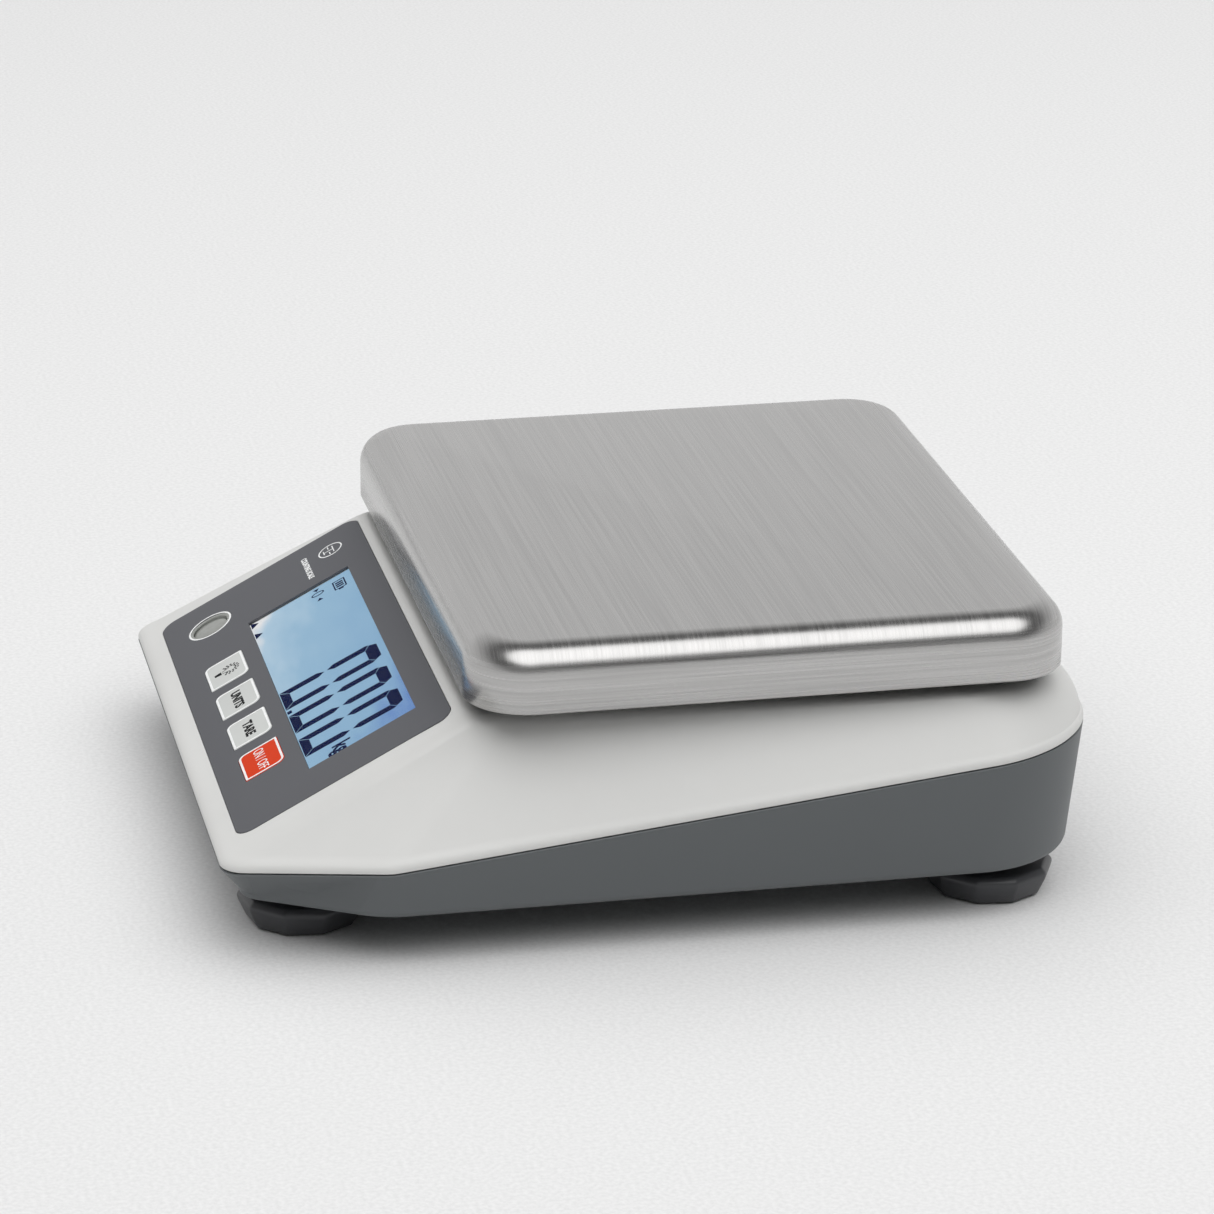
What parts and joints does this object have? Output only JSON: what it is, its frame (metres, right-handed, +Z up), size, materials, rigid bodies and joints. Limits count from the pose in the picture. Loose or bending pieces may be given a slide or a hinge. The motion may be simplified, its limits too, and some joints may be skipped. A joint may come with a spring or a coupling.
{
  "type": "counting scale",
  "caption": "Bench counting scale with a sloping keypad and display panel, a lift-off stainless steel pan and screw levelling feet.",
  "frame": {"origin": "on the surface that the feet stand on, under the middle of the housing", "axes": "+Z up, +X to the operator's right, -Y towards the operator"},
  "size_m": [0.2464, 0.2764, 0.0986],
  "materials": {
    "cover_abs": "fine moulded texture",
    "base_abs": "fine moulded texture",
    "overlay_film": "matt printed polycarbonate film",
    "clear_window": "clear, glossy",
    "lcd_glass": "blue-white backlit liquid crystal cell",
    "diffuser": "milk white light guide",
    "circuit_board": "green solder resist",
    "grey_key": "printed light grey with a white border",
    "red_key": "printed orange red with a white border",
    "black_plastic": "moulded",
    "ribbon_cable": "flat grey cable",
    "cast_aluminium": "bead blasted",
    "zinc_steel": "zinc plated",
    "rubber": "matt black",
    "brushed_stainless": "brushed across the width",
    "foot_plastic": "satin moulded",
    "brass": "knurled"
  },
  "bodies": {
    "housing": {"top_cover": "cover_abs", "bottom_case": "base_abs", "keypad_overlay": "overlay_film", "display_window": "clear_window", "lcd_glass": "lcd_glass", "lcd_backlight": "diffuser", "display_board": "circuit_board", "main_board": "circuit_board", "switch_light": "black_plastic", "switch_units": "black_plastic", "switch_tare": "black_plastic", "switch_on_off": "black_plastic", "level_cup": "black_plastic", "level_vial": "clear_window", "buzzer": "black_plastic", "display_ribbon": "ribbon_cable", "battery": "black_plastic", "power_inlet": "black_plastic", "load_cell": "cast_aluminium", "spacer_lower": "zinc_steel", "bolt_lower_1": "zinc_steel", "bolt_lower_2": "zinc_steel", "overload_stop_front_left": "zinc_steel", "overload_stop_front_right": "zinc_steel", "overload_stop_rear_left": "zinc_steel", "overload_stop_rear_right": "zinc_steel", "foot_insert_front_left": "brass", "foot_insert_front_right": "brass", "foot_insert_rear_left": "brass", "foot_insert_rear_right": "brass", "case_screw_front_left": "zinc_steel", "case_screw_front_right": "zinc_steel", "case_screw_rear_left": "zinc_steel", "case_screw_rear_right": "zinc_steel"},
    "load_platform": {"spacer_upper": "zinc_steel", "bolt_upper_1": "zinc_steel", "bolt_upper_2": "zinc_steel", "pan_support": "cast_aluminium", "bumper_front_left": "rubber", "bumper_front_right": "rubber", "bumper_rear_left": "rubber", "bumper_rear_right": "rubber"},
    "pan": {"weighing_pan": "brushed_stainless"},
    "battery_hatch": {"battery_door": "base_abs"},
    "light_key": {"key_light": "grey_key"},
    "units_key": {"key_units": "grey_key"},
    "tare_key": {"key_tare": "grey_key"},
    "on_off_key": {"key_on_off": "red_key"},
    "front_left_sole": {"foot_pad_front_left": "rubber"},
    "front_left_screw": {"foot_knob_front_left": "foot_plastic", "foot_stud_front_left": "zinc_steel"},
    "front_right_sole": {"foot_pad_front_right": "rubber"},
    "front_right_screw": {"foot_knob_front_right": "foot_plastic", "foot_stud_front_right": "zinc_steel"},
    "rear_left_sole": {"foot_pad_rear_left": "rubber"},
    "rear_left_screw": {"foot_knob_rear_left": "foot_plastic", "foot_stud_rear_left": "zinc_steel"},
    "rear_right_sole": {"foot_pad_rear_right": "rubber"},
    "rear_right_screw": {"foot_knob_rear_right": "foot_plastic", "foot_stud_rear_right": "zinc_steel"}
  },
  "joints": [
    {"name": "load_cell_flex", "type": "slide", "parent": "housing", "child": "load_platform", "axis": [0, 0, -1], "range_m": [0, 0.0004], "stiffness_N_per_m": 200000, "springref_m": -0.00008, "deforming": ["load_cell"]},
    {"name": "pan_lift", "type": "slide", "parent": "load_platform", "child": "pan", "axis": [0, 0, 1], "range_m": [0, 0.06]},
    {"name": "battery_door_release", "type": "slide", "parent": "housing", "child": "battery_hatch", "axis": [0, 0, -1], "range_m": [0, 0.012]},
    {"name": "light_key_press", "type": "slide", "parent": "housing", "child": "light_key", "axis": [0, 0.471, -0.8821], "range_m": [0, 0.0004], "stiffness_N_per_m": 3000, "springref_m": -0.0001},
    {"name": "units_key_press", "type": "slide", "parent": "housing", "child": "units_key", "axis": [0, 0.471, -0.8821], "range_m": [0, 0.0004], "stiffness_N_per_m": 3000, "springref_m": -0.0001},
    {"name": "tare_key_press", "type": "slide", "parent": "housing", "child": "tare_key", "axis": [0, 0.471, -0.8821], "range_m": [0, 0.0004], "stiffness_N_per_m": 3000, "springref_m": -0.0001},
    {"name": "on_off_key_press", "type": "slide", "parent": "housing", "child": "on_off_key", "axis": [0, 0.471, -0.8821], "range_m": [0, 0.0004], "stiffness_N_per_m": 3000, "springref_m": -0.0001},
    {"name": "front_left_foot_height", "type": "slide", "parent": "housing", "child": "front_left_sole", "axis": [0, 0, -1], "range_m": [-0.0015, 0.008]},
    {"name": "front_left_foot_turn", "type": "hinge", "parent": "front_left_sole", "child": "front_left_screw", "pos_m": [-0.0759, -0.10885, 0.01], "axis": [0, 0, -1], "range_deg": [-433, 2305]},
    {"name": "front_right_foot_height", "type": "slide", "parent": "housing", "child": "front_right_sole", "axis": [0, 0, -1], "range_m": [-0.0015, 0.008]},
    {"name": "front_right_foot_turn", "type": "hinge", "parent": "front_right_sole", "child": "front_right_screw", "pos_m": [0.0759, -0.10885, 0.01], "axis": [0, 0, -1], "range_deg": [-433, 2305]},
    {"name": "rear_left_foot_height", "type": "slide", "parent": "housing", "child": "rear_left_sole", "axis": [0, 0, -1], "range_m": [-0.0015, 0.008]},
    {"name": "rear_left_foot_turn", "type": "hinge", "parent": "rear_left_sole", "child": "rear_left_screw", "pos_m": [-0.0926, 0.10805, 0.01], "axis": [0, 0, -1], "range_deg": [-433, 2305]},
    {"name": "rear_right_foot_height", "type": "slide", "parent": "housing", "child": "rear_right_sole", "axis": [0, 0, -1], "range_m": [-0.0015, 0.008]},
    {"name": "rear_right_foot_turn", "type": "hinge", "parent": "rear_right_sole", "child": "rear_right_screw", "pos_m": [0.0926, 0.10805, 0.01], "axis": [0, 0, -1], "range_deg": [-433, 2305]}
  ],
  "couplings": [
    {"joint": "front_left_foot_turn", "follows": "front_left_foot_height", "rad_per_m": 5026.5},
    {"joint": "front_right_foot_turn", "follows": "front_right_foot_height", "rad_per_m": 5026.5},
    {"joint": "rear_left_foot_turn", "follows": "rear_left_foot_height", "rad_per_m": 5026.5},
    {"joint": "rear_right_foot_turn", "follows": "rear_right_foot_height", "rad_per_m": 5026.5}
  ]
}
